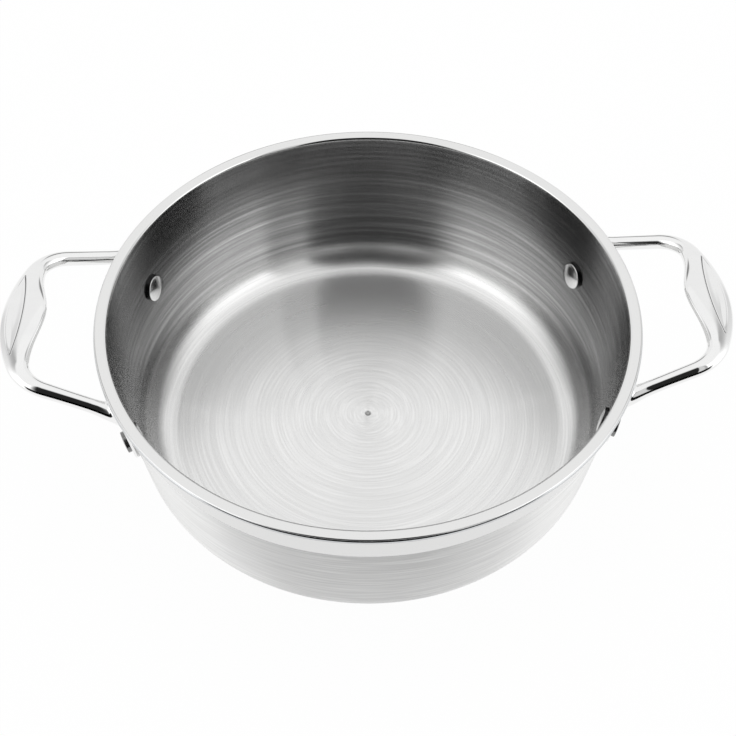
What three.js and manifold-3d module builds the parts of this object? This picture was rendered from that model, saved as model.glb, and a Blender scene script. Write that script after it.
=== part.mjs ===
// A two-handled cooking pot: a round bowl of clad sheet with a turned-out pouring lip, two cast loop
// handles and the rivets that hold them. Millimetres, +Z up. The origin is the centre of the base's
// underside, the handles lie along X and the front is towards -Y.
import * as THREE from 'three';
import { mergeVertices } from 'three/addons/utils/BufferGeometryUtils.js';
import Module from 'manifold-3d';

const wasm = await Module();
wasm.setup();

// Bowl, measured on its inside surface
const RIM_RADIUS = 129.5;        // the straight wall carried up to the rim's height
const FLOOR_RADIUS = 119.8;      // the straight wall carried down to the floor's height
const INNER_DEPTH = 88.4;
const CORNER_RADIUS = 17;
const LIP_ANGLE = THREE.MathUtils.degToRad(85);   // of the lip, from the vertical
const LIP_WIDTH = 6.2;           // from the corner of the wall and the lip to the edge
const LIP_BEND_RADIUS = 1.5;     // of that corner
const LIP_UNDER_RADIUS = 0.4;    // of the corner under the lip, where the bend is tightest

// Clad sheet: steel, aluminium and steel, bonded
const INNER_PLY = 0.5;
const CORE_PLY = 1.5;
const OUTER_PLY = 0.5;
const BOND_LINE = 0.05;

// Rivets, on the square line through the wall
const RIVET_ANGLE = THREE.MathUtils.degToRad(23.6);   // either side of the handle's own line
const RIVET_DROP = 35.4;         // below the rim
const SHANK_RADIUS = 3.2;
const HEAD_RADIUS = 7.2;
const HEAD_HEIGHT = 2.6;
const HEAD_SIDE = 1.5;           // of that height, straight
const TAIL_RADIUS = 5.5;
const TAIL_HEIGHT = 2;

// Handles: two legs that lean together and rise to a wide bridge
const HANDLE_REACH = 171.6;      // the bridge's middle line, from the pot's axis
const LEG_SPREAD = 52.6;         // half the distance between the legs, at the wall
const LEG_LEAN = THREE.MathUtils.degToRad(14.8);
const LEG_DROP = 13.9;           // a leg's middle line below the rim, at the wall
const LEG_RISE = THREE.MathUtils.degToRad(15);
const LEG_WIDTH = 7;
const LEG_HEIGHT = 7.6;
const ROOT_WIDTH = 9;
const ROOT_HEIGHT = 10;
const ROOT_LENGTH = 12;
const BEND_RADIUS = 18.4;
const BRIDGE_RADIUS = 130;
const BRIDGE_OUTER = 10.9;       // from the middle line to the outer edge
const BRIDGE_INNER = 13.6;       // from the middle line to the inner edge, which bulges to the pot
const BRIDGE_HEIGHT = 6.8;
const BRIDGE_TILT = THREE.MathUtils.degToRad(15.6);   // outer edge down
const OUTER_FULLNESS = 1.6;      // how quickly the outer edge narrows towards the legs
const INNER_FULLNESS = 4.6;      // how quickly the inner edge does
const TILT_FULLNESS = 0.4;       // how quickly the tilt fades there
const BRIDGE_FADE = 4.5;         // how far past the bends the widening fades out
const PAD_WIDTH = 18;
const PAD_TOP_WIDTH = 12;
const PAD_THICKNESS = 2.4;

// Thumb hollow along the outer top edge of the bridge
const HOLLOW_LENGTH = 62;
const HOLLOW_WIDTH = 10;
const HOLLOW_DEPTH = 1.2;
const HOLLOW_SHIFT = 3.2;        // outwards from the bridge's middle line
const HOLLOW_LEAN = THREE.MathUtils.degToRad(5);

// Clearances
const SEAT_GAP = 0.3;
const HOLE_CLEARANCE = 0.3;

// Fineness
const BOWL_STEPS = 60;
const ARC_STEPS = 4;
const RIVET_STEPS = 16;
const PATH_STEPS = 40;
const SECTION_POINTS = 16;
const LEG_POWER = 2;             // of the section's curve: 2 is an ellipse, more is squarer
const BRIDGE_POWER = 2.6;

const WALL = INNER_PLY + CORE_PLY + OUTER_PLY + 2 * BOND_LINE;
const RIM_HEIGHT = WALL + INNER_DEPTH;
const TAPER = Math.atan2(RIM_RADIUS - FLOOR_RADIUS, INNER_DEPTH);

// A shape with only positions left becomes a solid that can be joined and cut.
function solid(geometry) {
  geometry.deleteAttribute('normal');
  geometry.deleteAttribute('uv');
  const merged = mergeVertices(geometry, 1e-4);
  const corners = merged.index.array;
  const triangles = [];
  for (let i = 0; i < corners.length; i += 3) {
    const [a, b, c] = corners.slice(i, i + 3);
    if (a !== b && b !== c && c !== a) triangles.push(a, b, c);
  }
  return new wasm.Manifold(new wasm.Mesh({
    numProp: 3,
    vertProperties: new Float32Array(merged.attributes.position.array),
    triVerts: new Uint32Array(triangles),
  }));
}

function geometryOf(body) {
  const mesh = body.getMesh();
  const geometry = new THREE.BufferGeometry();
  geometry.setAttribute('position', new THREE.BufferAttribute(mesh.vertProperties, 3));
  geometry.setIndex(new THREE.BufferAttribute(mesh.triVerts, 1));
  geometry.computeVertexNormals();
  return geometry;
}

function turned(profile, steps) {
  return solid(new THREE.LatheGeometry(profile, steps).rotateX(Math.PI / 2));
}

// Radius of the straight wall's inside at a height.
function wallRadius(height) {
  return FLOOR_RADIUS + (height - WALL) * Math.tan(TAPER);
}

// The bowl's section from the middle of the floor to the corner's end, moved outwards from the inside
// surface by an offset.
function floorSection(offset) {
  const cornerHeight = WALL + CORNER_RADIUS;
  const cornerMiddle = wallRadius(cornerHeight) - CORNER_RADIUS / Math.cos(TAPER);
  const points = [new THREE.Vector2(0, WALL - offset)];
  for (let i = 0; i <= ARC_STEPS; i++) {
    const angle = THREE.MathUtils.lerp(Math.PI / 2, TAPER, i / ARC_STEPS);
    const radius = CORNER_RADIUS + offset;
    points.push(new THREE.Vector2(
      cornerMiddle + radius * Math.cos(angle), cornerHeight - radius * Math.sin(angle)));
  }
  return points;
}

// The same on to the lip's edge: the corner of the wall and the lip is rounded.
function bowlSection(offset) {
  const outOfWall = new THREE.Vector2(Math.cos(TAPER), -Math.sin(TAPER));
  const underLip = new THREE.Vector2(Math.cos(LIP_ANGLE), -Math.sin(LIP_ANGLE));
  const alongLip = new THREE.Vector2(Math.sin(LIP_ANGLE), Math.cos(LIP_ANGLE));
  const cornerHeight = RIM_HEIGHT - LIP_WIDTH * alongLip.y;
  const corner = new THREE.Vector2(wallRadius(cornerHeight), cornerHeight);
  const halfway = outOfWall.clone().add(underLip).divideScalar(1 + outOfWall.dot(underLip));
  const radius = Math.max(LIP_BEND_RADIUS - offset, LIP_UNDER_RADIUS);
  const middle = corner.clone().addScaledVector(halfway, offset + radius);
  const points = floorSection(offset);
  for (let i = 0; i <= ARC_STEPS; i++) {
    const angle = THREE.MathUtils.lerp(TAPER, LIP_ANGLE, i / ARC_STEPS);
    points.push(new THREE.Vector2(
      middle.x - radius * Math.cos(angle), middle.y + radius * Math.sin(angle)));
  }
  points.push(corner.clone().addScaledVector(alongLip, LIP_WIDTH).addScaledVector(underLip, offset));
  return points;
}

// The whole space inside a section, closed across the top.
function spaceInside(section) {
  const top = section[section.length - 1].y;
  return turned([...section, new THREE.Vector2(0, top)], BOWL_STEPS);
}

function bowlSpace(offset) {
  return spaceInside(bowlSection(offset));
}

// The space inside an offset of the straight wall, carried up past the lip.
function wallSpace(offset) {
  const top = new THREE.Vector2(wallRadius(RIM_HEIGHT) + offset / Math.cos(TAPER), RIM_HEIGHT);
  return spaceInside([...floorSection(offset), top]);
}

function ply(inside, outside, holes) {
  const section = [...bowlSection(outside), ...bowlSection(inside).reverse()];
  return holes.reduce((sheet, hole) => sheet.subtract(hole), turned(section, BOWL_STEPS));
}

// Where a rivet's line leaves the wall's inside: +Z of this frame points out of the pot.
function rivetFrame(angle) {
  const height = RIM_HEIGHT - RIVET_DROP;
  const radius = wallRadius(height);
  const out = new THREE.Vector3(Math.cos(TAPER), 0, -Math.sin(TAPER));
  const along = new THREE.Vector3(0, 1, 0);
  const up = new THREE.Vector3().crossVectors(out, along);
  return new THREE.Matrix4().makeRotationZ(angle)
    .multiply(new THREE.Matrix4().makeTranslation(radius, 0, height))
    .multiply(new THREE.Matrix4().makeBasis(along, up, out));
}

function rivetHole(angle) {
  const reach = WALL + PAD_THICKNESS + HEAD_RADIUS;
  const drill = new THREE.CylinderGeometry(
    SHANK_RADIUS + HOLE_CLEARANCE, SHANK_RADIUS + HOLE_CLEARANCE, 2 * reach, RIVET_STEPS);
  return solid(drill.rotateX(Math.PI / 2).applyMatrix4(rivetFrame(angle)));
}

// A round cap that bulges along the axis from a base that runs back to a given depth.
function cap(radius, height, base, depth) {
  const sphere = (radius * radius + height * height) / (2 * height);
  const points = [new THREE.Vector2(0, base - depth), new THREE.Vector2(radius, base - depth)];
  for (let i = 0; i <= ARC_STEPS; i++) {
    const across = radius * (1 - i / ARC_STEPS);
    const rise = Math.sqrt(sphere * sphere - across * across) - (sphere - height);
    points.push(new THREE.Vector2(across, base + rise));
  }
  return new THREE.LatheGeometry(points, RIVET_STEPS).rotateX(Math.PI / 2);
}

// A rivet: its head lies on the inside of the wall, its formed tail on the handle's pad.
function rivet(angle) {
  const frame = rivetFrame(angle);
  const padFace = WALL + SEAT_GAP + PAD_THICKNESS;
  const head = cap(HEAD_RADIUS, HEAD_HEIGHT - HEAD_SIDE, HEAD_SIDE, HEAD_HEIGHT)
    .rotateX(Math.PI).applyMatrix4(frame);
  const tail = cap(TAIL_RADIUS, TAIL_HEIGHT, padFace + SEAT_GAP, TAIL_HEIGHT).applyMatrix4(frame);
  const shankLength = padFace + SEAT_GAP + (HEAD_HEIGHT + TAIL_HEIGHT) / 2;
  const shank = new THREE.CylinderGeometry(SHANK_RADIUS, SHANK_RADIUS, shankLength, RIVET_STEPS)
    .translate(0, shankLength / 2 - HEAD_HEIGHT / 2, 0).rotateX(Math.PI / 2).applyMatrix4(frame);
  return solid(head).intersect(bowlSpace(-SEAT_GAP))
    .add(solid(tail).subtract(wallSpace(padFace + SEAT_GAP)))
    .add(solid(shank));
}

// The handle's middle line in plan: leg, bend, bridge, bend and leg, each tangent to the next.
function handlePlan() {
  const root = new THREE.Vector2(Math.sqrt((RIM_RADIUS + WALL) ** 2 - LEG_SPREAD ** 2), LEG_SPREAD);
  const lean = new THREE.Vector2(Math.cos(LEG_LEAN), -Math.sin(LEG_LEAN));
  const inwards = new THREE.Vector2(-Math.sin(LEG_LEAN), -Math.cos(LEG_LEAN));
  const bridge = new THREE.Vector2(HANDLE_REACH - BRIDGE_RADIUS, 0);
  const start = root.clone().addScaledVector(inwards, BEND_RADIUS).sub(bridge);
  const half = start.dot(lean);
  const spare = (BRIDGE_RADIUS - BEND_RADIUS) ** 2 - start.lengthSq();
  const length = -half + Math.sqrt(half * half + spare);
  const bend = start.clone().addScaledVector(lean, length).add(bridge);
  const turn = Math.atan2(bend.y, bend.x - bridge.x);
  const square = Math.PI / 2 - LEG_LEAN;
  const plan = new THREE.Path();
  plan.moveTo(root.x - ROOT_LENGTH * lean.x, root.y - ROOT_LENGTH * lean.y);
  plan.lineTo(root.x + length * lean.x, root.y + length * lean.y);
  plan.absarc(bend.x, bend.y, BEND_RADIUS, square, turn, true);
  plan.absarc(bridge.x, bridge.y, BRIDGE_RADIUS, turn, -turn, true);
  plan.absarc(bend.x, -bend.y, BEND_RADIUS, -turn, -square, true);
  plan.lineTo(root.x - ROOT_LENGTH * lean.x, -root.y + ROOT_LENGTH * lean.y);
  return { plan, root, halfSpan: bend.y + BEND_RADIUS + BRIDGE_FADE };
}

function handleHeight(x, root) {
  return RIM_HEIGHT - LEG_DROP + (x - root.x) * Math.tan(LEG_RISE);
}

// Rings of points joined side by side into one closed skin, with a flat end at each side.
function skin(rings) {
  const positions = rings.flat().flatMap((point) => point.toArray());
  const count = rings[0].length;
  const faces = [];
  for (let i = 0; i + 1 < rings.length; i++) {
    for (let j = 0; j < count; j++) {
      const a = i * count + j;
      const b = i * count + (j + 1) % count;
      faces.push(a, b, b + count, a, b + count, a + count);
    }
  }
  const last = (rings.length - 1) * count;
  for (let j = 1; j + 1 < count; j++) {
    faces.push(0, j + 1, j, last, last + j, last + j + 1);
  }
  const geometry = new THREE.BufferGeometry();
  geometry.setAttribute('position', new THREE.Float32BufferAttribute(positions, 3));
  geometry.setIndex(faces);
  return geometry;
}

// The cast loop: a rounded section that is small along the legs and wide across the bridge.
function handleLoop() {
  const { plan, root, halfSpan } = handlePlan();
  const rings = [];
  for (let i = 0; i <= PATH_STEPS; i++) {
    const place = plan.getPointAt(i / PATH_STEPS);
    const heading = plan.getTangentAt(i / PATH_STEPS);
    const span = Math.max(0, 1 - (place.y / halfSpan) ** 2);
    const onBridge = span ** OUTER_FULLNESS;
    const atRoot = 1 - THREE.MathUtils.smoothstep(place.x - root.x, 0, ROOT_LENGTH);
    const legHalf = THREE.MathUtils.lerp(LEG_WIDTH, ROOT_WIDTH, atRoot) / 2;
    const legHeight = THREE.MathUtils.lerp(LEG_HEIGHT, ROOT_HEIGHT, atRoot);
    const outer = THREE.MathUtils.lerp(legHalf, BRIDGE_OUTER, onBridge);
    const inner = THREE.MathUtils.lerp(legHalf, BRIDGE_INNER, span ** INNER_FULLNESS);
    const height = THREE.MathUtils.lerp(legHeight, BRIDGE_HEIGHT, onBridge);
    const power = THREE.MathUtils.lerp(LEG_POWER, BRIDGE_POWER, onBridge);
    const middle = new THREE.Vector3(place.x, place.y, handleHeight(place.x, root));
    const ahead = new THREE.Vector3(heading.x, heading.y, heading.x * Math.tan(LEG_RISE)).normalize();
    const side = new THREE.Vector3(-heading.y, heading.x, 0);
    const up = new THREE.Vector3().crossVectors(ahead, side).normalize();
    const tilt = -BRIDGE_TILT * span ** TILT_FULLNESS;
    side.applyAxisAngle(ahead, tilt);
    up.applyAxisAngle(ahead, tilt);
    const ring = [];
    for (let j = 0; j < SECTION_POINTS; j++) {
      const angle = (2 * Math.PI * j) / SECTION_POINTS;
      const across = Math.sign(Math.cos(angle)) * Math.abs(Math.cos(angle)) ** (2 / power);
      const rise = Math.sign(Math.sin(angle)) * Math.abs(Math.sin(angle)) ** (2 / power);
      const half = across > 0 ? outer : inner;
      ring.push(middle.clone().addScaledVector(side, across * half)
        .addScaledVector(up, rise * height / 2));
    }
    rings.push(ring);
  }
  return solid(skin(rings));
}

// A pad: a tongue that hangs from the leg's root down over the rivet and follows the wall.
function pad(angle) {
  const top = RIVET_DROP - LEG_DROP + ROOT_HEIGHT / 4;
  const half = PAD_WIDTH / 2;
  const reach = 2 * (WALL + PAD_THICKNESS) + HEAD_RADIUS;
  const tongue = new THREE.Shape();
  tongue.absarc(0, 0, half, -Math.PI, 0, false);
  tongue.lineTo(PAD_TOP_WIDTH / 2, top);
  tongue.lineTo(-PAD_TOP_WIDTH / 2, top);
  const block = new THREE.ExtrudeGeometry(
    tongue, { depth: 2 * reach, bevelEnabled: false, curveSegments: RIVET_STEPS / 2 });
  return solid(block.translate(0, 0, -reach).applyMatrix4(rivetFrame(angle)))
    .intersect(wallSpace(WALL + SEAT_GAP + PAD_THICKNESS));
}

// The cutter of the thumb hollow: a long egg that dips into the bridge's top.
function thumbHollow() {
  const { root } = handlePlan();
  const high = HOLLOW_WIDTH;
  const share = Math.sqrt(1 - ((high - HOLLOW_DEPTH) / high) ** 2);
  const egg = new THREE.SphereGeometry(1, 24, 24).rotateX(Math.PI / 2)
    .scale(HOLLOW_WIDTH / 2 / share, HOLLOW_LENGTH / 2 / share, high)
    .translate(0, 0, BRIDGE_HEIGHT / 2 + high - HOLLOW_DEPTH)
    .translate(HOLLOW_SHIFT, 0, 0)
    .rotateY(BRIDGE_TILT + HOLLOW_LEAN)
    .translate(HANDLE_REACH, 0, handleHeight(HANDLE_REACH, root));
  return solid(egg);
}

function handle(angles) {
  const loop = handleLoop().subtract(thumbHollow());
  const withPads = angles.reduce((body, angle) => body.add(pad(angle)), loop);
  const seated = withPads.subtract(bowlSpace(WALL + SEAT_GAP));
  return angles.reduce((body, angle) => body.subtract(rivetHole(angle)), seated);
}

const brushedSteel = new THREE.MeshStandardMaterial({ color: 0xb9b9b7, roughness: 0.35, metalness: 1 });
const satinSteel = new THREE.MeshStandardMaterial({ color: 0xc4c4c2, roughness: 0.28, metalness: 1 });
const aluminium = new THREE.MeshStandardMaterial({ color: 0xa9abad, roughness: 0.5, metalness: 1 });
const polishedSteel = new THREE.MeshStandardMaterial({ color: 0xd6d6d4, roughness: 0.08, metalness: 1 });

function named(name, geometry, material) {
  const mesh = new THREE.Mesh(geometry, material);
  mesh.name = name;
  return mesh;
}

const pot = new THREE.Group();
const frontAndRear = [-RIVET_ANGLE, RIVET_ANGLE];
const allAround = [...frontAndRear, ...frontAndRear.map((angle) => angle + Math.PI)];
const holes = allAround.map(rivetHole);

const coreStart = INNER_PLY + BOND_LINE;
const coreEnd = coreStart + CORE_PLY;
pot.add(named('inner_steel_ply', geometryOf(ply(0, INNER_PLY, holes)), satinSteel));
pot.add(named('aluminium_core', geometryOf(ply(coreStart, coreEnd, holes)), aluminium));
pot.add(named('outer_steel_ply', geometryOf(ply(coreEnd + BOND_LINE, WALL, holes)), brushedSteel));

// One handle and its two rivets, made for the right and turned about for the left.
const handleShape = geometryOf(handle(frontAndRear));
const rivetShapes = frontAndRear.map((angle) => geometryOf(rivet(angle)));
const sides = [
  { side: 'right', turn: 0, ends: ['front', 'rear'] },
  { side: 'left', turn: Math.PI, ends: ['rear', 'front'] },
];
for (const { side, turn, ends } of sides) {
  const group = new THREE.Group();
  group.rotation.z = turn;
  group.add(named(`${side}_handle`, handleShape, polishedSteel));
  ends.forEach((end, i) => group.add(named(`${side}_${end}_rivet`, rivetShapes[i], polishedSteel)));
  pot.add(group);
}

export default pot;
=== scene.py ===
"""A two-handled cooking pot in a white studio: a clad bowl, two cast handles and four rivets."""
import logging
from dataclasses import dataclass, field
from enum import Enum
from math import asin, atan2, copysign, cos, hypot, inf, pi, radians, sin, sqrt, tan, tau
from typing import Any, Callable

import bmesh
import bpy
from mathutils import Matrix, Vector


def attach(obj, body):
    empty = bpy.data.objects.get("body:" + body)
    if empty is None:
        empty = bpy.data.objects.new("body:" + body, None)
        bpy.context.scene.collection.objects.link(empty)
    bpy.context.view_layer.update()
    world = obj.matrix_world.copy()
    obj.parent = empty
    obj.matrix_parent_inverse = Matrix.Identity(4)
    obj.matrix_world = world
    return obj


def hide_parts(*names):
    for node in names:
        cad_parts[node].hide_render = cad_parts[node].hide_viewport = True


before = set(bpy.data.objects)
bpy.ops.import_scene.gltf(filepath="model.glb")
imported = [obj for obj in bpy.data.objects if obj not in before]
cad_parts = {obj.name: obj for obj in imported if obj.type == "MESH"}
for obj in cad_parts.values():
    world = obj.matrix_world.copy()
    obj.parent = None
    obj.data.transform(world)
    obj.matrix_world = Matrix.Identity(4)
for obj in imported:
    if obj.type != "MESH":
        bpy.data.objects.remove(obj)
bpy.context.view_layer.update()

LOG = logging.getLogger("cooking_pot")
MM = 0.001
WELD = 1e-4
TINY = 1e-6
HALVINGS = 30
PHOTO_SIDE = 736
WHITE = (1.0, 1.0, 1.0, 1.0)
BUMP_STRENGTH = 0.5

Band = tuple[float, float]
Card = tuple[float, float, float, float]
Colour = tuple[float, float, float]
Shape = bmesh.types.BMesh
Socket = bpy.types.NodeSocket
Material = bpy.types.Material
Tint = Colour | Socket


class Slot(Enum):
    """The record's material slots."""

    INTERIOR = "interior_steel"
    EXTERIOR = "exterior_steel"
    CORE = "core_aluminium"
    POLISHED = "polished_steel"


class Side(Enum):
    """The two handles' sides, with the turn about the pot's axis that takes the right one there."""

    RIGHT = ("right", 0.0, ("front", "rear"))
    LEFT = ("left", pi, ("rear", "front"))

    def __init__(self, word: str, turn: float, ends: tuple[str, str]) -> None:
        """Keeps the side's word, its turn and the order of its two ends."""
        self.word = word
        self.turn = turn
        self.ends = ends


def blend(start: Any, end: Any, share: Any) -> Any:
    """Returns the value at a share of the way from start to end, for numbers and for signals."""
    return start + (end - start) * share


def eased(share: float) -> float:
    """Returns a share from 0 to 1 that starts and stops gently."""
    share = min(1.0, max(0.0, share))
    return share * share * (3.0 - 2.0 * share)


def way_at(turn: float) -> Vector:
    """Returns the direction of length 1 at a turn."""
    return Vector((cos(turn), sin(turn)))


def on_arc(centre: Vector, radius: float, turn: float) -> tuple[Vector, Vector]:
    """Returns an arc's point at a turn and the direction of falling turn there."""
    out = way_at(turn)
    return centre + out * radius, Vector((out.y, -out.x))


def last_true(test: Callable[[float], bool], low: float, high: float) -> float:
    """Returns where a test turns false between low, where it holds, and high, by halving."""
    for _ in range(HALVINGS):
        middle = (low + high) / 2
        if test(middle):
            low = middle
        else:
            high = middle
    return (low + high) / 2


def operator(operation: str, swapped: bool = False) -> Callable[[Any, Any], "Signal"]:
    """Returns an operator that adds one Math node, with its two values in either order."""
    def result(signal: "Signal", other: "Signal | float") -> "Signal":
        """Returns the Math node's result."""
        values = (other, signal) if swapped else (signal, other)
        return signal.graph.math(operation, *values)

    return result


class Signal:
    """A number on a shader socket. Arithmetic on it adds Math nodes."""

    __add__ = operator("ADD")
    __radd__ = operator("ADD", swapped=True)
    __sub__ = operator("SUBTRACT")
    __rsub__ = operator("SUBTRACT", swapped=True)
    __mul__ = operator("MULTIPLY")
    __rmul__ = operator("MULTIPLY", swapped=True)
    __truediv__ = operator("DIVIDE")
    __rtruediv__ = operator("DIVIDE", swapped=True)

    def __init__(self, graph: "Graph", socket: Socket) -> None:
        """Keeps the socket and the graph it belongs to."""
        self.graph = graph
        self.socket = socket

    def __neg__(self) -> "Signal":
        """Returns 0 - self."""
        return 0.0 - self


def total(signals: list[Signal]) -> Signal:
    """Returns the sum of some signals."""
    return sum(signals[1:], signals[0])


class Graph:
    """Adds nodes to one shader tree."""

    def __init__(self, tree: bpy.types.NodeTree) -> None:
        """Empties the tree."""
        self.tree = tree
        tree.nodes.clear()

    def node(self, kind: str, settings: dict[str, Any] | None = None,
             sockets: dict[str | int, Any] | None = None) -> bpy.types.Node:
        """Adds a node.

        Args:
            kind: The node's type.
            settings: The node's own properties, set first.
            sockets: Values or links of its inputs, by name or number.

        Returns:
            The new node.
        """
        made = self.tree.nodes.new(kind)
        for key, value in (settings or {}).items():
            setattr(made, key, value)
        for key, value in (sockets or {}).items():
            self.feed(made.inputs[key], value)
        return made

    def feed(self, socket: Socket, value: Any) -> None:
        """Links a signal or an output to a socket, or sets the socket's own value."""
        if isinstance(value, Signal):
            self.tree.links.new(value.socket, socket)
        elif isinstance(value, Socket):
            self.tree.links.new(value, socket)
        else:
            socket.default_value = value

    def math(self, operation: str, *values: Signal | float) -> Signal:
        """Returns the result of one Math node."""
        made = self.node("ShaderNodeMath", {"operation": operation}, dict(enumerate(values)))
        return Signal(self, made.outputs[0])

    def length(self, x: Signal, y: Signal) -> Signal:
        """Returns the length of a vector in plan."""
        return self.math("SQRT", x * x + y * y)

    def step(self, value: Signal, low: Signal | float, high: Signal | float, start: float = 0.0,
             end: float = 1.0) -> Signal:
        """Returns start below low and end above high, with a gentle change between them."""
        made = self.node("ShaderNodeMapRange", {"interpolation_type": "SMOOTHSTEP"},
                         {"Value": value, "From Min": low, "From Max": high,
                          "To Min": start, "To Max": end})
        return Signal(self, made.outputs["Result"])

    def place(self, space: str = "Object") -> tuple[Signal, Signal, Signal]:
        """Returns X, Y and Z, of the surface point in its own object or of another space."""
        coordinates = self.node("ShaderNodeTexCoord")
        split = self.node("ShaderNodeSeparateXYZ", None, {0: coordinates.outputs[space]})
        return tuple(Signal(self, output) for output in split.outputs)

    def noise(self, x: Signal, y: Signal, z: Signal, scale: float, detail: float) -> Signal:
        """Returns soft noise from 0 to 1 at a place."""
        vector = self.node("ShaderNodeCombineXYZ", None, {0: x, 1: y, 2: z})
        made = self.node("ShaderNodeTexNoise", {"noise_dimensions": "3D"},
                         {"Vector": vector.outputs[0], "Scale": scale, "Detail": detail})
        return Signal(self, made.outputs[0])

    def mix(self, share: Signal, low: Tint, high: Tint) -> Socket:
        """Returns a colour between two, each of them written out or another node's output."""
        first, second = ((*tint, 1.0) if isinstance(tint, tuple) else tint for tint in (low, high))
        made = self.node("ShaderNodeMix", {"data_type": "RGBA", "clamp_factor": True},
                         {"Factor": share, "A": first, "B": second})
        return made.outputs["Result"]

    def scaled(self, colour: Socket, share: Signal) -> Socket:
        """Returns a colour times a number."""
        made = self.node("ShaderNodeVectorMath", {"operation": "SCALE"},
                         {0: colour, "Scale": share})
        return made.outputs[0]

    def bump(self, depth: float, height: Signal) -> Socket:
        """Returns the normal of a surface with a relief on it."""
        made = self.node("ShaderNodeBump", None,
                         {"Strength": BUMP_STRENGTH, "Distance": depth, "Height": height})
        return made.outputs[0]

    def metal(self, sockets: dict[str, Any]) -> None:
        """Ends a material in bare metal, with more of the shader's sockets by name."""
        shader = self.node("ShaderNodeBsdfPrincipled", None, {"Metallic": 1.0, **sockets})
        self.node("ShaderNodeOutputMaterial", None, {"Surface": shader.outputs[0]})


def blank(name: str) -> tuple[Material, Graph]:
    """Returns a new material and its empty graph."""
    made = bpy.data.materials.new(name)
    made.use_nodes = True
    return made, Graph(made.node_tree)


@dataclass(frozen=True)
class Streak:
    """One size of brushing line: its noise in a turn, its count in a metre and its share."""

    turns: float
    per_metre: float
    share: float


@dataclass(frozen=True)
class Marks:
    """Soft marks on a surface: their count along each axis and in a metre, and their detail."""

    close: Colour
    per_metre: float
    detail: float

    def drawn(self, graph: Graph, place: tuple[Signal, Signal, Signal]) -> Signal:
        """Returns the marks at a place, from 0 to 1."""
        spread = [value * close for value, close in zip(place, self.close)]
        return graph.noise(*spread, self.per_metre, self.detail)


STREAKS = (Streak(0.8, 160.0, 0.06), Streak(1.1, 460.0, 0.14), Streak(1.5, 850.0, 0.4),
           Streak(2.2, 1300.0, 0.4))


@dataclass(frozen=True)
class SpunSteel:
    """Sheet steel that was spun and brushed round its axis, and polished above a height. Metres.
    Its colour is painted darker on the wall than on the floor where the tints ask for it, as
    painted shade.
    """

    name: str
    floor_tint: Colour
    # The wall's and the top's tints are painted shade: the same steel painted darker on the wall
    # than on the floor, and darker still near the top.
    painted_shade_wall_tint: Colour
    painted_shade_top_tint: Colour
    floor_contrast: float
    wall_contrast: float
    streak_turns: float
    wall_pitch: float
    floor_roughness: float
    roughness: float
    roughness_swing: float
    polish_from: float
    polish_fade: float
    polish_tint: Colour
    polish_roughness: float
    streak_depth: float
    wall_band: Band = (0.010, 0.022)
    anisotropy: float = 0.95
    streak_detail: float = 1.0
    grain_band: Band = (0.38, 0.62)
    scratch_band: Band = (0.58, 0.68)
    scratch_share: float = 0.3
    cloud_turns: float = 1.6
    clouds_per_metre: float = 14.0
    cloud_detail: float = 2.0
    cloud_share: float = 0.1
    top_band: Band = (0.4, 0.9)
    mark_band: Band = (0.001, 0.0022)
    mark_shade: float = 0.5
    polish_haze: float = 0.03
    polish_flattening: float = 0.97
    brushing_way: float = 0.25

    def material(self) -> Material:
        """Returns the finish as a material."""
        made, graph = blank(self.name)
        x, y, z = graph.place()
        radius = graph.length(x, y)
        turn_x, turn_y = x / (radius + TINY), y / (radius + TINY)
        along = radius + z * self.wall_pitch

        def round_axis(turns: float, count: float, detail: float) -> Signal:
            """Returns noise that is drawn out round the axis."""
            return graph.noise(turn_x * turns, turn_y * turns, along * count, 1.0, detail)

        lines = [round_axis(streak.turns * self.streak_turns, streak.per_metre, self.streak_detail)
                 for streak in STREAKS]
        clouds = round_axis(self.cloud_turns, self.clouds_per_metre, self.cloud_detail)
        polished = graph.step(z, self.polish_from - self.polish_fade, self.polish_from)
        grain = total([line * streak.share for line, streak in zip(lines, STREAKS)])
        *_, fine, finest = lines
        clouded = graph.step(grain + (clouds - 0.5) * self.cloud_share, *self.grain_band)
        tone = blend(clouded, graph.step(fine, *self.scratch_band), self.scratch_share)
        # Painted shade: the colour turns from the floor's tint to the wall's as the floor curves
        # up, then to the darker top tint higher up the wall.
        on_wall = graph.step(z, *self.wall_band)
        up_wall = graph.step(z, *(share * self.polish_from for share in self.top_band))
        side = graph.mix(up_wall, self.painted_shade_wall_tint, self.painted_shade_top_tint)
        steel = graph.mix(on_wall, self.floor_tint, side)
        # The dark end of the brushing streaks: a darker copy of the steel's colour, painted shade
        # included.
        dark_streak_and_painted_shade = graph.scaled(steel, 1.0 - blend(self.floor_contrast, self.wall_contrast, on_wall))
        mark = graph.step(radius, *self.mark_band, self.mark_shade, 1.0)
        marked = graph.scaled(graph.mix(tone, dark_streak_and_painted_shade, steel), mark)
        brushed_rough = (blend(self.floor_roughness, self.roughness, on_wall)
                         + self.roughness_swing * (1.0 - 2.0 * grain))
        rough = blend(brushed_rough, self.polish_roughness + self.polish_haze * clouds, polished)
        relief = blend(fine, finest, 0.5) * (1.0 - self.polish_flattening * polished)
        colour = graph.mix(polished, marked, self.polish_tint)
        graph.metal({"Base Color": colour, "Roughness": rough,
                     "Anisotropic": self.anisotropy, "Anisotropic Rotation": self.brushing_way,
                     "Normal": graph.bump(self.streak_depth, relief)})
        return made


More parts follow.
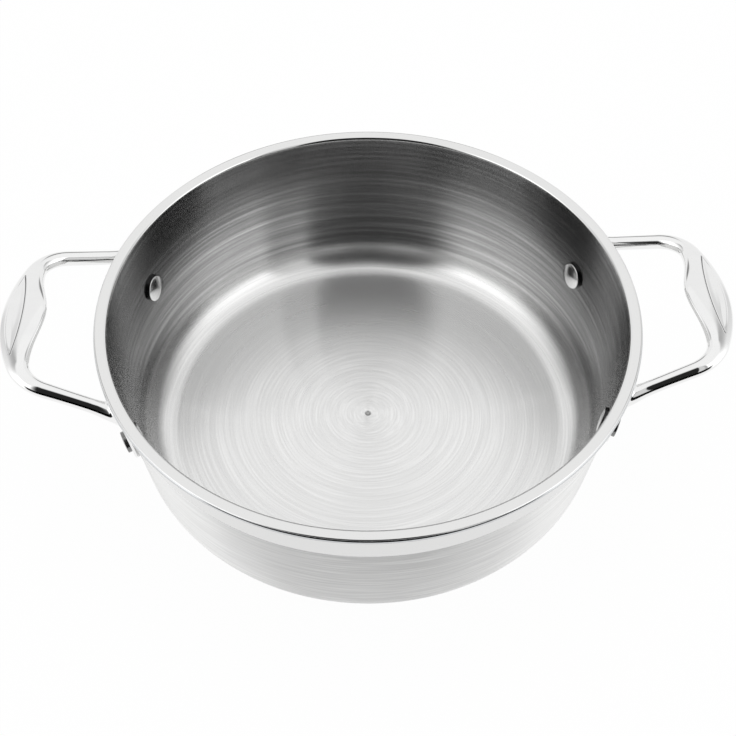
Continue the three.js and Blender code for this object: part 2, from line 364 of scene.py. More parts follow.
@dataclass(frozen=True)
class PolishedSteel:
    """Bright polished steel with faint buffing marks and haze, and a near-black painted shade where
    a mask asks for it.
    """

    name: str
    tint: Colour
    shade: Colour
    roughness: float
    ripple_depth: float
    haze: float = 0.04
    haze_band: Band = (0.45, 0.75)
    # The painted shade's near-black colour and its roughness.
    painted_shade_tint: Colour = (0.05, 0.05, 0.05)
    painted_shade_roughness: float = 0.25
    ripple: Marks = Marks(close=(1.0, 1.0, 1.0), per_metre=90.0, detail=1.0)
    smear: Marks = Marks(close=(0.4, 1.0, 0.6), per_metre=160.0, detail=3.0)
    buffing: Marks = Marks(close=(4.0, 0.35, 4.0), per_metre=700.0, detail=2.0)
    buffing_haze: float = 0.25
    buffing_relief: float = 0.02

    def material(self, painted_shade_share: Callable[[Graph, Signal, Signal, Signal], Signal]) -> Material:
        """Returns the finish as a material.

        Args:
            painted_shade_share: Gives the share of painted shade, near black, at a surface point.

        Returns:
            The material.
        """
        made, graph = blank(self.name)
        place = graph.place()
        ripple, smear, buffing = (marks.drawn(graph, place)
                                  for marks in (self.ripple, self.smear, self.buffing))
        # Painted shade: the mask's share turns the colour near black and the steel rougher.
        dark_streak_and_painted_shade = painted_shade_share(graph, *place)
        colour = graph.mix(dark_streak_and_painted_shade, graph.mix(smear, self.shade, self.tint), self.painted_shade_tint)
        haze = graph.step(smear, *self.haze_band) + self.buffing_haze * buffing
        rough = blend(self.roughness + self.haze * haze, self.painted_shade_roughness, dark_streak_and_painted_shade)
        relief = ripple + self.buffing_relief * buffing
        graph.metal({"Base Color": colour, "Roughness": rough,
                     "Normal": graph.bump(self.ripple_depth, relief)})
        return made


@dataclass(frozen=True)
class TurnedAluminium:
    """The soft grey core of the sheet, which shows as a line round the lip's edge."""

    name: str
    tint: Colour
    shade: Colour
    roughness: float
    roughness_swing: float = 0.06
    grain: Marks = Marks(close=(0.2, 0.2, 4.0), per_metre=900.0, detail=3.0)

    def material(self) -> Material:
        """Returns the finish as a material."""
        made, graph = blank(self.name)
        grain = self.grain.drawn(graph, graph.place())
        graph.metal({"Base Color": graph.mix(grain, self.shade, self.tint),
                     "Roughness": self.roughness + self.roughness_swing * grain})
        return made


def linked(name: str, shape: Shape, material: Material) -> bpy.types.Object:
    """Turns a shape, which is used up, into an object of the scene."""
    mesh = bpy.data.meshes.new(name)
    shape.to_mesh(mesh)
    shape.free()
    mesh.materials.append(material)
    made = bpy.data.objects.new(name, mesh)
    bpy.context.scene.collection.objects.link(made)
    return made


def shown(name: str, shape: Shape, material: Material, slot: Slot, *nodes: str) -> None:
    """Turns a shape in millimetres into a smooth piece of the pot.

    Args:
        name: The piece's name.
        shape: The shape, which is used up.
        material: Its finish.
        slot: The record's slot for that finish; not used.
        nodes: The solids that the piece stands for.
    """
    bmesh.ops.remove_doubles(shape, verts=shape.verts, dist=WELD)
    bmesh.ops.recalc_face_normals(shape, faces=shape.faces)
    bmesh.ops.scale(shape, vec=(MM, MM, MM), verts=shape.verts)
    for face in shape.faces:
        face.smooth = True
    piece = linked(name, shape, material)
    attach(piece, "root")
    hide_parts(*nodes)
    LOG.info("%s: %d faces", name, len(piece.data.polygons))


def turned(profile: list[Vector], steps: int) -> Shape:
    """Spins a half section of (radius, height) points, from axis to axis, into a closed shape."""
    shape = bmesh.new()
    verts = [shape.verts.new((point.x, 0.0, point.y)) for point in profile]
    edges = [shape.edges.new(pair) for pair in zip(verts, verts[1:])]
    bmesh.ops.spin(shape, geom=verts + edges, cent=(0, 0, 0), axis=(0, 0, 1), dvec=(0, 0, 0),
                   angle=tau, steps=steps, use_merge=True, use_duplicate=False)
    return shape


SHOWN_STEPS = (8, 30, 30, 16, 24, 6)
HIDDEN_STEPS = (1, 1, 8, 1, 8, 1)


@dataclass
class Bowl:
    """The clad bowl. Sizes in millimetres, measured on the inside surface."""

    rim_radius: float = 129.5
    floor_radius: float = 119.8
    inner_depth: float = 88.4
    corner_radius: float = 17.0
    lip_bend_radius: float = 1.5
    lip_under_radius: float = 0.4
    lip_angle: float = radians(85)
    lip_width: float = 6.0
    inner_ply: float = 0.5
    core_ply: float = 1.5
    outer_ply: float = 0.5
    bond_line: float = 0.05
    edge_round: float = 1.45
    edge_under_round: float = 0.5
    pip_radius: float = 1.9
    pip_depth: float = 0.9
    edge_steps: int = 20
    steps_round: int = 216

    @property
    def wall(self) -> float:
        """The whole sheet's thickness."""
        return self.inner_ply + self.core_ply + self.outer_ply + 2 * self.bond_line

    @property
    def rim_height(self) -> float:
        """The lip's top above the ground."""
        return self.wall + self.inner_depth

    @property
    def taper(self) -> float:
        """The wall's lean from the vertical."""
        return atan2(self.rim_radius - self.floor_radius, self.inner_depth)

    def wall_radius(self, height: float) -> float:
        """Returns the straight wall's inside radius at a height."""
        return self.floor_radius + (height - self.wall) * tan(self.taper)

    @property
    def lip_way(self) -> Vector:
        """The direction of the level lip, outwards."""
        return Vector((sin(self.lip_angle), cos(self.lip_angle)))

    @property
    def lip_down(self) -> Vector:
        """The direction square to the level lip, downwards."""
        return way_at(-self.lip_angle)

    @property
    def lip_corner(self) -> Vector:
        """Where the straight wall and the level lip would meet on the inside surface."""
        height = self.rim_height - self.lip_width * self.lip_way.y
        return Vector((self.wall_radius(height), height))

    def bend_point(self, depth: float, angle: float) -> Vector:
        """Returns a point of the bend between wall and lip, by depth in the sheet and angle."""
        out = way_at(-self.taper)
        square = (out + self.lip_down) / (1.0 + out.dot(self.lip_down))
        radius = max(self.lip_bend_radius - depth, self.lip_under_radius)
        middle = self.lip_corner + square * (depth + radius)
        return middle - radius * way_at(-angle)

    def lip_point(self, depth: float, reach: float) -> Vector:
        """Returns the level lip's point at a depth in the sheet and a reach from its corner."""
        return self.lip_corner + self.lip_down * depth + self.lip_way * reach

    def meridian(self, depth: float, fine: bool, pip: bool = False) -> list[Vector]:
        """Draws the half section at a depth in the sheet, from the axis to the lip's bend end.

        Args:
            depth: Distance below the inside surface.
            fine: Whether the surface shows, or lies between two layers.
            pip: Whether the floor's middle has its small turning mark.

        Returns:
            Points as (radius, height).
        """
        height = self.wall + self.corner_radius
        middle = self.wall_radius(height) - self.corner_radius / cos(self.taper)
        radius = self.corner_radius + depth
        floor = self.wall - depth
        points = []
        counts = SHOWN_STEPS if fine else HIDDEN_STEPS
        pip_steps, floor_steps, corner_steps, wall_steps, lip_steps, flat_steps = counts
        for i in range(pip_steps):
            share = i / pip_steps
            dip = self.pip_depth * (1.0 - eased(share)) if pip else 0.0
            points.append(Vector((self.pip_radius * share, floor - dip)))
        for i in range(floor_steps):
            points.append(Vector((blend(self.pip_radius, middle, i / floor_steps), floor)))
        for i in range(corner_steps + 1):
            angle = blend(pi / 2, self.taper, i / corner_steps)
            points.append(Vector((middle, height)) + radius * way_at(-angle))
        foot = points[-1]
        bend = self.bend_point(depth, self.taper)
        for i in range(1, wall_steps):
            points.append(foot.lerp(bend, i / wall_steps))
        for i in range(lip_steps + 1):
            points.append(self.bend_point(depth, blend(self.taper, self.lip_angle, i / lip_steps)))
        bend_end = points[-1]
        edge_start = self.lip_point(depth, self.edge_reach(depth))
        for i in range(1, flat_steps + 1):
            points.append(bend_end.lerp(edge_start, i / flat_steps))
        return points

    def edge_reach(self, depth: float) -> float:
        """Returns how far the level lip goes from its corner at a depth in the sheet."""
        top, under = self.edge_round, self.edge_under_round
        above, below = top - depth, depth - self.wall + under
        if above > 0.0:
            return self.lip_width - top + sqrt(max(0.0, top ** 2 - above ** 2))
        if below > 0.0:
            return self.lip_width - under + sqrt(max(0.0, under ** 2 - below ** 2))
        return self.lip_width

    def edge(self, inside: float, outside: float) -> list[Vector]:
        """Draws the lip's edge between two depths in the sheet, rolled over above, eased below."""
        depths = (blend(inside, outside, (i / self.edge_steps) ** 2)
                  for i in range(self.edge_steps + 1))
        return [self.lip_point(depth, self.edge_reach(depth)) for depth in depths]

    def ply(self, inside: float, outside: float) -> Shape:
        """Returns one layer of the sheet, between two depths."""
        top = inside == 0.0
        profile = self.meridian(inside, top, top) + self.edge(inside, outside)
        profile += reversed(self.meridian(outside, outside == self.wall))
        return turned(profile, self.steps_round)

    def build(self, interior: Material, core: Material, exterior: Material) -> None:
        """Builds the three layers and dresses them."""
        core_start = self.inner_ply + self.bond_line
        core_end = core_start + self.core_ply
        outer_start = core_end + self.bond_line
        inside = self.ply(0.0, self.inner_ply)
        middle = self.ply(core_start, core_end)
        outside = self.ply(outer_start, self.wall)
        shown("bowl_inside", inside, interior, Slot.INTERIOR, "inner_steel_ply")
        shown("bowl_core", middle, core, Slot.CORE, "aluminium_core")
        shown("bowl_outside", outside, exterior, Slot.EXTERIOR, "outer_steel_ply")


HEAD_SIDE_SHARES = (0.94, 0.5, 0.06, 0.0)


@dataclass
class Rivet:
    """A solid rivet on the square line through the wall, in millimetres."""

    bowl: Bowl
    angle: float = radians(23.6)
    drop: float = 35.4
    shank_radius: float = 3.2
    head_radius: float = 7.2
    head_height: float = 2.6
    head_side: float = 1.5
    head_rim: float = 0.35
    tail_radius: float = 5.5
    tail_height: float = 2.2
    seat: float = 0.12
    edge_inset: float = 0.1
    # Painted shade on the rivet: it starts this far past the crown's edge, fades over this
    # distance, and is this much lighter on the tail.
    crown_margin: float = 0.25
    crown_fade: float = 0.3
    tail_bright: float = 0.22
    dome_steps: int = 20
    rim_steps: int = 8
    steps_round: int = 96

    def frame(self, angle: float) -> Matrix:
        """Returns where the rivet's line meets the wall's inside, with Z out of the pot."""
        height = self.bowl.rim_height - self.drop
        lean = Matrix.Rotation(pi / 2 + self.bowl.taper, 4, "Y")
        place = Matrix.Translation((self.bowl.wall_radius(height), 0.0, height))
        return Matrix.Rotation(angle, 4, "Z") @ place @ lean

    def dome(self, radius: float, height: float, base: float, way: float) -> list[Vector]:
        """Draws a low dome with a rolled rim, from its top to its foot.

        Args:
            radius: The dome's radius.
            height: Its rise.
            base: Where its foot lies on the axis.
            way: 1 to bulge along the axis and -1 against it.

        Returns:
            Points as (radius, place on the axis).
        """
        rim = self.head_rim
        foot = base + way * self.head_side
        crown = height - self.head_side - rim
        reach = radius - rim
        ball = (reach * reach + crown * crown) / (2 * crown)
        top = asin(reach / ball)
        points = []
        for i in range(self.dome_steps):
            turn = top * i / self.dome_steps
            rise = height - ball * (1 - cos(turn))
            points.append(Vector((ball * sin(turn), base + way * rise)))
        for i in range(self.rim_steps + 1):
            turn = blend(pi / 2 - top, 0.0, i / self.rim_steps)
            points.append(Vector((reach + rim * cos(turn), foot + way * rim * sin(turn))))
        for share in HEAD_SIDE_SHARES:
            points.append(Vector((radius, base + way * self.head_side * share)))
        return points

    def shape(self, pad_face: float) -> Shape:
        """Returns the rivet along Z, its head inside the wall and its tail on the pad's face."""
        head = self.dome(self.head_radius, self.head_height, 0.0, -1.0)
        tail = self.dome(self.tail_radius, self.tail_height, pad_face, 1.0)
        near, far = self.seat, pad_face - self.seat
        shank = [Vector(point) for point in (
            (self.head_radius, near), (self.head_radius - self.edge_inset, near),
            (self.shank_radius, near), (self.shank_radius, far),
            (self.tail_radius - self.edge_inset, far), (self.tail_radius, far))]
        return turned(head + shank + tail[::-1], self.steps_round)

    def painted_shade_share(self, graph: Graph, x: Signal, y: Signal, z: Signal) -> Signal:
        """Returns the share of painted shade: none on the crown, all on the head's side where the
        head meets the wall, and less on the tail.
        """
        crown = (self.bowl.wall_radius(0.0) - self.head_side - self.crown_margin) * MM
        outside = (self.bowl.wall_radius(0.0) + self.bowl.wall) * MM
        beyond = graph.length(x, y) - z * tan(self.bowl.taper)
        tails = graph.step(beyond, outside, outside + MM)
        return graph.step(beyond, crown, crown + self.crown_fade * MM) - self.tail_bright * tails

    def build(self, side: Side, pad_face: float, polish: Material) -> None:
        """Builds a side's two rivets and dresses them."""
        for end, angle in zip(side.ends, (-self.angle, self.angle)):
            shape = self.shape(pad_face)
            shape.transform(Matrix.Rotation(side.turn, 4, "Z") @ self.frame(angle))
            name = f"{side.word}_{end}_rivet"
            shown(f"{name}_set", shape, polish, Slot.POLISHED, name)


@dataclass
class Handle:
    """A cast loop handle: two legs that lean together, a wide bridge and two pads on the wall."""

    bowl: Bowl
    rivet: Rivet
    reach: float = 171.6
    leg_spread: float = 52.6
    leg_lean: float = radians(14.8)
    leg_drop: float = 13.9
    leg_rise: float = radians(15)
    leg_width: float = 7.0
    leg_height: float = 7.6
    root_width: float = 9.0
    root_height: float = 10.0
    root_length: float = 12.0
    bend_radius: float = 18.4
    bridge_radius: float = 130.0
    bridge_outer: float = 10.6
    bridge_inner: float = 13.6
    inner_fullness: float = 4.6
    bridge_height: float = 6.5
    bridge_tilt: float = radians(15.6)
    tilt_fullness: float = 0.4
    bridge_fullness: float = 1.6
    bridge_fade: float = 4.5
    leg_power: float = 2.0
    bridge_power: float = 2.6
    pad_width: float = 18.0
    pad_top_width: float = 12.0
    pad_thickness: float = 2.4
    pad_rounding: float = 0.9
    root_fillet: float = 2.6
    seat_gap: float = 0.3
    hollow_half: float = 26.6
    hollow_tip: float = 172.9
    hollow_inner_bow: float = 2.9
    hollow_outer_bow: float = 5.5
    hollow_depth: float = 0.5
    hollow_wall: float = 3.2
    hollow_ramp: float = 8.0
    groove_half: float = 0.36
    groove_inner_depth: float = 0.55
    groove_outer_depth: float = 0.2
    # Painted shade at the bottom of the leaf's groove: full across this share of its half width, at
    # these strengths on the inner and the outer line.
    groove_floor: float = 0.3
    groove_inner_dark: float = 0.8
    groove_outer_dark: float = 0.35
    groove_least: float = 2.2
    tip_ramp: float = 1.5
    tip_fade: Band = (-0.4, 0.2)
    top_fade: float = 0.5
    spread_least: float = 0.2
    outer_points: int = 22
    hollow_points: int = 26
    inner_points: int = 34
    under_points: int = 64
    bridge_steps: int = 96
    bend_steps: int = 40
    leg_steps: int = 14
    fillet_steps: int = 7
    spread_steps: int = 8
    rounding_steps: int = 5
    root: Vector = field(init=False)
    lean: Vector = field(init=False)
    bridge: Vector = field(init=False)
    bend: Vector = field(init=False)
    leg_length: float = field(init=False)
    turn: float = field(init=False)
    half_span: float = field(init=False)

    def __post_init__(self) -> None:
        """Works out the middle line in plan: leg, bend and half the bridge, all tangent."""
        wall = self.bowl.rim_radius + self.bowl.wall
        self.root = Vector((sqrt(wall ** 2 - self.leg_spread ** 2), self.leg_spread))
        self.lean = way_at(-self.leg_lean)
        inwards = Vector((-sin(self.leg_lean), -cos(self.leg_lean)))
        self.bridge = Vector((self.reach - self.bridge_radius, 0.0))
        start = self.root + inwards * self.bend_radius - self.bridge
        half = start.dot(self.lean)
        spare = (self.bridge_radius - self.bend_radius) ** 2 - start.length_squared
        self.leg_length = -half + sqrt(half * half + spare)
        self.bend = start + self.lean * self.leg_length + self.bridge
        self.turn = atan2(self.bend.y, self.bend.x - self.bridge.x)
        self.half_span = self.bend.y + self.bend_radius + self.bridge_fade

    @property
    def pad_face(self) -> float:
        """The pad's outer face, outwards from the wall's inside on the rivet's line."""
        return self.bowl.wall + self.seat_gap + self.pad_thickness

    def middle_height(self, x: float) -> float:
        """Returns the middle line's height at a distance along X."""
        return self.bowl.rim_height - self.leg_drop + (x - self.root.x) * tan(self.leg_rise)

    def plain_point(self, place: Vector, heading: Vector, angle: float) -> tuple[Vector, Vector]:
        """Finds a point of the loop's skin as it was before the thumb hollow.

        Args:
            place: The middle line's point in plan.
            heading: The middle line's direction there, away from the rear leg's root.
            angle: The turn round the section, from the outer edge over the top.

        Returns:
            The point, in millimetres, and the section's upward direction.
        """
        span = max(0.0, 1.0 - (place.y / self.half_span) ** 2)
        on_bridge = span ** self.bridge_fullness
        at_root = 1.0 - eased((place.x - self.root.x) / self.root_length)
        leg_half = blend(self.leg_width, self.root_width, at_root) / 2
        leg_height = blend(self.leg_height, self.root_height, at_root)
        outer = blend(leg_half, self.bridge_outer, on_bridge)
        inner = blend(leg_half, self.bridge_inner, span ** self.inner_fullness)
        height = blend(leg_height, self.bridge_height, on_bridge)
        power = blend(self.leg_power, self.bridge_power, on_bridge)
        middle = Vector((place.x, place.y, self.middle_height(place.x)))
        ahead = Vector((heading.x, heading.y, heading.x * tan(self.leg_rise))).normalized()
        side = Vector((-heading.y, heading.x, 0.0))
        up = ahead.cross(side).normalized()
        tilt = Matrix.Rotation(-self.bridge_tilt * span ** self.tilt_fullness, 3, ahead)
        across = copysign(abs(cos(angle)) ** (2 / power), cos(angle))
        rise = copysign(abs(sin(angle)) ** (2 / power), sin(angle))
        half = outer if across > 0.0 else inner
        return middle + tilt @ (side * across * half + up * rise * height / 2), tilt @ up

    def section_point(self, place: Vector, heading: Vector, angle: float) -> Vector:
        """Returns a point of the loop's skin, in millimetres, for the same arguments."""
        point, up = self.plain_point(place, heading, angle)
        if 0.0 < angle < pi:
            point -= up * self.hollow(point.x, point.y)
        return point

    def leaf(self, y: float) -> tuple[float, float]:
        """Returns where the thumb hollow's leaf outline lies on its inner and its outer side."""
        share = max(0.0, 1.0 - (y / self.hollow_half) ** 2)
        inner = self.hollow_tip - self.hollow_inner_bow * share
        outer = self.hollow_tip + self.hollow_outer_bow * share
        spare = max(0.0, self.groove_least * self.groove_half - (outer - inner)) / 2
        return inner - spare, outer + spare

    def hollow(self, x: float, y: float) -> float:
        """Returns how far the thumb hollow lies below the bridge's top at a place in plan."""
        if abs(y) >= self.hollow_half:
            return 0.0
        inner, outer = self.leaf(y)
        ends = eased((self.hollow_half - abs(y)) / self.hollow_ramp)
        scoop = self.hollow_depth * eased(min(x - inner, outer - x) / self.hollow_wall) * ends
        tips = eased((self.hollow_half - abs(y)) / self.tip_ramp)
        near_inner, near_outer = (max(0.0, 1.0 - abs(x - line) / self.groove_half)
                                  for line in (inner, outer))
        return scoop + tips * max(self.groove_inner_depth * near_inner,
                                  self.groove_outer_depth * near_outer)

    def painted_shade_share(self, graph: Graph, x: Signal, y: Signal, z: Signal) -> Signal:
        """Returns the share of painted shade at a point: only the bottom of the leaf's groove."""
        out = graph.math("ABSOLUTE", x)
        along = graph.math("ABSOLUTE", y)
        ratio = y / (self.hollow_half * MM)
        share = graph.math("MAXIMUM", 1.0 - ratio * ratio, 0.0)
        to_tip = out - self.hollow_tip * MM
        inner = graph.math("ABSOLUTE", to_tip + share * (self.hollow_inner_bow * MM))
        outer = graph.math("ABSOLUTE", to_tip - share * (self.hollow_outer_bow * MM))
        low, high = self.groove_floor * self.groove_half * MM, self.groove_half * MM
        line = graph.math("MAXIMUM", graph.step(inner, low, high, self.groove_inner_dark, 0.0),
                          graph.step(outer, low, high, self.groove_outer_dark, 0.0))
        fade = [(self.hollow_half + shift) * MM for shift in self.tip_fade]
        ends = graph.step(along, *fade, 1.0, 0.0)
        above = z - self.middle_height(0.0) * MM - out * tan(self.leg_rise)
        return line * ends * graph.step(above, 0.0, self.top_fade * MM)

    def angles(self, y: float) -> list[float]:
        """Returns the turns round the section at a place along the bridge, close at the leaf."""
        reach = min(asin(min(y, self.hollow_half) / self.bridge_radius), self.turn)
        place, heading = on_arc(self.bridge, self.bridge_radius, reach)
        groove = self.groove_half

        def crossing(outside: bool, shift: float) -> float:
            """Returns the turn where the section meets the leaf's outline, shifted outwards."""
            def further_out(angle: float) -> bool:
                """Says whether the section's point lies outside that line."""
                point, _ = self.plain_point(place, heading, angle)
                return point.x > self.leaf(point.y)[outside] + shift

            return last_true(further_out, 0.0, pi)

        lines = [crossing(outside, shift) for outside in (True, False)
                 for shift in (groove, groove / 2, 0.0, -groove / 2, -groove)]
        turns = [lines[0] * i / self.outer_points for i in range(self.outer_points)]
        turns += lines[:4]
        turns += [blend(lines[4], lines[5], i / self.hollow_points)
                  for i in range(self.hollow_points)]
        turns += lines[5:9]
        turns += [blend(lines[9], pi, i / self.inner_points) for i in range(self.inner_points)]
        turns += [pi * (1.0 + i / self.under_points) for i in range(self.under_points)]
        return turns

    def loop_rings(self) -> list[list[Vector]]:
        """Returns the skin's rings from the bridge's middle to the rear leg's start."""
        leg_turn = pi / 2 - self.leg_lean
        arcs = [(self.bridge, self.bridge_radius, self.turn * i / self.bridge_steps)
                for i in range(self.bridge_steps)]
        arcs += [(self.bend, self.bend_radius, blend(self.turn, leg_turn, i / self.bend_steps))
                 for i in range(self.bend_steps + 1)]
        rings = []
        for centre, radius, turn in arcs:
            place, heading = on_arc(centre, radius, turn)
            rings.append([self.section_point(place, heading, angle)
                          for angle in self.angles(place.y)])
        return rings

    def on_leg(self, distance: float, angle: float) -> Vector:
        """Returns a skin point of the straight leg, at a distance back from its bend."""
        place = self.root + self.lean * (self.leg_length - distance)
        return self.section_point(place, self.lean, angle)

    def to_wall(self, point: Vector) -> Vector:
        """Returns a point's place along, up and out from the rear rivet's line on the wall."""
        height = self.bowl.rim_height - self.rivet.drop
        taper = self.bowl.taper
        out = hypot(point.x, point.y) - self.bowl.wall_radius(height)
        up = point.z - height
        climb = out * sin(taper) + up * cos(taper)
        radius = self.bowl.wall_radius(height) + climb * sin(taper)
        along = (atan2(point.y, point.x) - self.rivet.angle) * radius
        return Vector((along, climb, out * cos(taper) - up * sin(taper)))

    def on_wall(self, flat: Vector, level: float) -> Vector:
        """Returns the point at a place along and up from the rear rivet's line, and a level out."""
        height = self.bowl.rim_height - self.rivet.drop
        taper = self.bowl.taper
        radius = self.bowl.wall_radius(height) + flat.y * sin(taper)
        turn = self.rivet.angle + flat.x / radius
        reach = radius + level * cos(taper)
        rise = height + flat.y * cos(taper) - level * sin(taper)
        return Vector((reach * cos(turn), reach * sin(turn), rise))

    def landing(self, angle: float, out: float) -> float:
        """Returns the distance along the leg at which its skin is down to a level over the wall."""
        return last_true(lambda distance: self.to_wall(self.on_leg(distance, angle)).z > out,
                         0.0, self.leg_length + self.root_length)

    def tongue_reach(self, start: Vector, way: Vector) -> float:
        """Returns how far the pad's outline lies from a point inside it, in a direction.

        Args:
            start: A place along and up on the wall, inside the outline.
            way: A direction of length 1.

        Returns:
            The distance to the outline.
        """
        half = self.pad_width / 2
        top = self.rivet.drop - self.leg_drop + self.root_height / 4
        flank = Vector((top, half - self.pad_top_width / 2)).normalized()
        reaches = []
        for sign in (-1.0, 1.0):
            facing = Vector((sign * flank.x, flank.y))
            speed = facing.dot(way)
            if speed > TINY:
                reaches.append((half * flank.x - facing.dot(start)) / speed)
        if way.y > TINY:
            reaches.append((top - start.y) / way.y)
        reach = min(reaches) if reaches else inf
        if way.y < 0.0 and (start + way * reach).y < 0.0:
            lean = start.dot(way)
            reach = -lean + sqrt(lean * lean - start.length_squared + half * half)
        return reach

    def pad_rings(self) -> list[list[Vector]]:
        """Returns the rings that take the leg's skin down to the wall and out over the pad."""
        root = Vector((*self.root, self.middle_height(self.root.x)))
        heart = self.to_wall(root).to_2d()
        turns = self.angles(self.hollow_half)
        starts = [self.landing(angle, self.pad_face + self.root_fillet) for angle in turns]
        rings = []
        for i in range(1, self.leg_steps + 1):
            share = i / self.leg_steps
            rings.append([self.on_leg(start * share, angle) for start, angle in zip(starts, turns)])
        feet = []
        for i in range(1, self.fillet_steps + 1):
            turn = pi / 2 * i / self.fillet_steps
            level = self.pad_face + self.root_fillet * (1.0 - sin(turn))
            feet = []
            for angle in turns:
                flat = self.to_wall(self.on_leg(self.landing(angle, level), angle)).to_2d()
                way = (flat - heart).normalized()
                feet.append((flat + way * self.root_fillet * (1.0 - cos(turn)), way))
            rings.append([self.on_wall(flat, level) for flat, _ in feet])
        rims = []
        for flat, way in feet:
            reach = max(self.tongue_reach(heart, way) - self.pad_rounding,
                        (flat - heart).length + self.spread_least)
            rims.append((flat, heart + way * reach, way * self.pad_rounding))
        for i in range(1, self.spread_steps + 1):
            rings.append([self.on_wall(flat.lerp(edge, i / self.spread_steps), self.pad_face)
                          for flat, edge, _ in rims])
        for i in range(1, self.rounding_steps + 1):
            turn = pi / 2 * i / self.rounding_steps
            level = self.pad_face - self.pad_rounding * (1.0 - cos(turn))
            rings.append([self.on_wall(edge + out * sin(turn), level)
                          for _, edge, out in rims])
        seat = self.bowl.wall + self.seat_gap
        for share in (1.0, 0.5, 0.0):
            rings.append([self.on_wall(heart.lerp(edge + out, share), seat)
                          for _, edge, out in rims])
        return rings

    def shape(self) -> Shape:
        """Returns the right handle: rings extruded one from the next, and the half mirrored."""
        rings = self.loop_rings() + self.pad_rings()
        shape = bmesh.new()
        bmesh.ops.create_circle(shape, cap_ends=False, radius=1.0, segments=len(rings[0]))
        shape.verts.ensure_lookup_table()
        ring = list(shape.verts)
        for vert, point in zip(ring, rings[0]):
            vert.co = point
        for points in rings[1:]:
            ring = grown(shape, ring, points)
        bmesh.ops.remove_doubles(shape, verts=shape.verts, dist=WELD)
        everything = shape.verts[:] + shape.edges[:] + shape.faces[:]
        bmesh.ops.mirror(shape, geom=everything, matrix=Matrix(), merge_dist=WELD, axis="Y")
        return shape

    def build(self, side: Side, cast: Shape, polish: Material) -> None:
        """Builds a side's handle from the cast right one and dresses it."""
        shape = cast.copy()
        shape.transform(Matrix.Rotation(side.turn, 4, "Z"))
        name = f"{side.word}_handle"
        shown(f"{name}_cast", shape, polish, Slot.POLISHED, name)


def grown(shape: Shape, ring: list[bmesh.types.BMVert],
          points: list[Vector]) -> list[bmesh.types.BMVert]:
    """Extrudes a closed ring once.

    Args:
        shape: The mesh.
        ring: The ring's vertices in order.
        points: Where the new vertices go, in the same order.

    Returns:
        The new ring's vertices in order.
    """
    edges = [shape.edges.get((a, b)) for a, b in zip(ring, ring[1:] + ring[:1])]
    made = bmesh.ops.extrude_edge_only(shape, edges=edges)["geom"]
    fresh = {vert for vert in made if isinstance(vert, bmesh.types.BMVert)}
    result = []
    for vert, point in zip(ring, points):
        other = next(edge.other_vert(vert) for edge in vert.link_edges
                     if edge.other_vert(vert) in fresh)
        other.co = point
        result.append(other)
    return result


